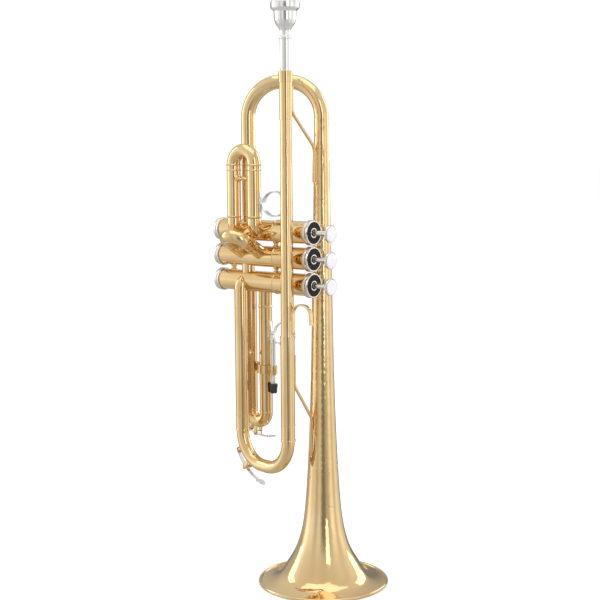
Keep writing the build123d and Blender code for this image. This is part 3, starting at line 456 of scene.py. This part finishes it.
def make_floor():
    """Plain pale floor, left out of the reflections so that the tent shows in the metal."""
    mesh = bpy.data.meshes.new("floor")
    half = FLOOR_HALF
    corners = [(-half, -half, 0), (half, -half, 0), (half, half, 0), (-half, half, 0)]
    mesh.from_pydata(corners, [], [(0, 1, 2, 3)])
    floor = bpy.data.objects.new("floor", mesh)
    floor.location.z = -FLOOR_DROP
    bpy.context.scene.collection.objects.link(floor)
    pale = bpy.data.materials.new("pale_floor")
    pale.use_nodes = True
    shader = pale.node_tree.nodes["Principled BSDF"]
    shader.inputs["Base Color"].default_value = (0.95, 0.95, 0.95, 1)
    shader.inputs["Roughness"].default_value = 1.0
    shader.inputs["Specular IOR Level"].default_value = 0.0
    mesh.materials.append(pale)
    floor.visible_glossy = False


def make_stage():
    make_floor()
    make_world()
    for light in LIGHTS:
        soft_light(*light)
    bpy.context.scene.view_settings.view_transform = "Standard"


def make_world():
    """Even white for the background and the floor; panels and gaps of a light tent for gloss."""
    world = bpy.data.worlds.new("studio")
    bpy.context.scene.world = world
    world.use_nodes = True
    nodes = world.node_tree.nodes
    links = world.node_tree.links

    def number(kind, *values):
        node = nodes.new("ShaderNodeMath")
        node.operation = kind
        for index, value in enumerate(values):
            if isinstance(value, float):
                node.inputs[index].default_value = value
            else:
                links.new(value, node.inputs[index])
        return node.outputs[0]

    split = nodes.new("ShaderNodeSeparateXYZ")
    links.new(nodes.new("ShaderNodeTexCoord").outputs["Generated"], split.inputs[0])
    around = number("ARCTAN2", split.outputs["Y"], split.outputs["X"])
    level = split.outputs["Z"]
    fade = number("POWER", number("SUBTRACT", 1.0, number("ABSOLUTE", level)), 2.0)
    total = number("ADD", TENT_LEVEL, number("MULTIPLY", level, TENT_RISE))
    for count, phase, depth in TENT_PANELS:
        wave = number("SINE", number("ADD", number("MULTIPLY", around, count), phase))
        panel = number("MULTIPLY", number("MULTIPLY", wave, depth), fade)
        total = number("ADD", total, panel)
    total = number("MINIMUM", number("MAXIMUM", total, TENT_DARKEST), TENT_BRIGHTEST)
    path = nodes.new("ShaderNodeLightPath")
    plain_ray = number("MAXIMUM", path.outputs["Is Camera Ray"], path.outputs["Is Diffuse Ray"])
    strength = nodes.new("ShaderNodeMix")
    links.new(plain_ray, strength.inputs["Factor"])
    links.new(total, strength.inputs[2])
    strength.inputs[3].default_value = WHITE_LEVEL
    nodes["Background"].inputs["Color"].default_value = (1.0, 1.0, 1.0, 1.0)
    links.new(strength.outputs[0], nodes["Background"].inputs["Strength"])


def make_camera():
    """Camera at the height of the valves, a little to the right, tipped down slightly."""
    azimuth = math.radians(CAMERA_AZIMUTH)
    heading = math.radians(CAMERA_AZIMUTH + CAMERA_YAW)
    pitch = math.radians(CAMERA_PITCH)
    roll = math.radians(CAMERA_ROLL)
    level_ahead = Vector((-math.sin(heading), math.cos(heading), 0.0))
    forward = level_ahead * math.cos(pitch) - Vector((0.0, 0.0, math.sin(pitch)))
    right = Vector((math.cos(heading), math.sin(heading), 0.0))
    up = right.cross(forward)
    rolled_right = right * math.cos(roll) - up * math.sin(roll)
    rolled_up = right * math.sin(roll) + up * math.cos(roll)
    data = bpy.data.cameras.new("camera")
    data.sensor_width = SENSOR_WIDTH
    data.lens = LENS
    data.clip_start = 0.05
    data.clip_end = 100.0
    camera = bpy.data.objects.new("camera", data)
    camera.rotation_euler = Matrix((rolled_right, rolled_up, -forward)).transposed().to_euler()
    camera.location = (
        CAMERA_DISTANCE * math.sin(azimuth), -CAMERA_DISTANCE * math.cos(azimuth), CAMERA_HEIGHT,
    )
    bpy.context.scene.collection.objects.link(camera)
    bpy.context.scene.camera = camera


make_stage()
make_camera()
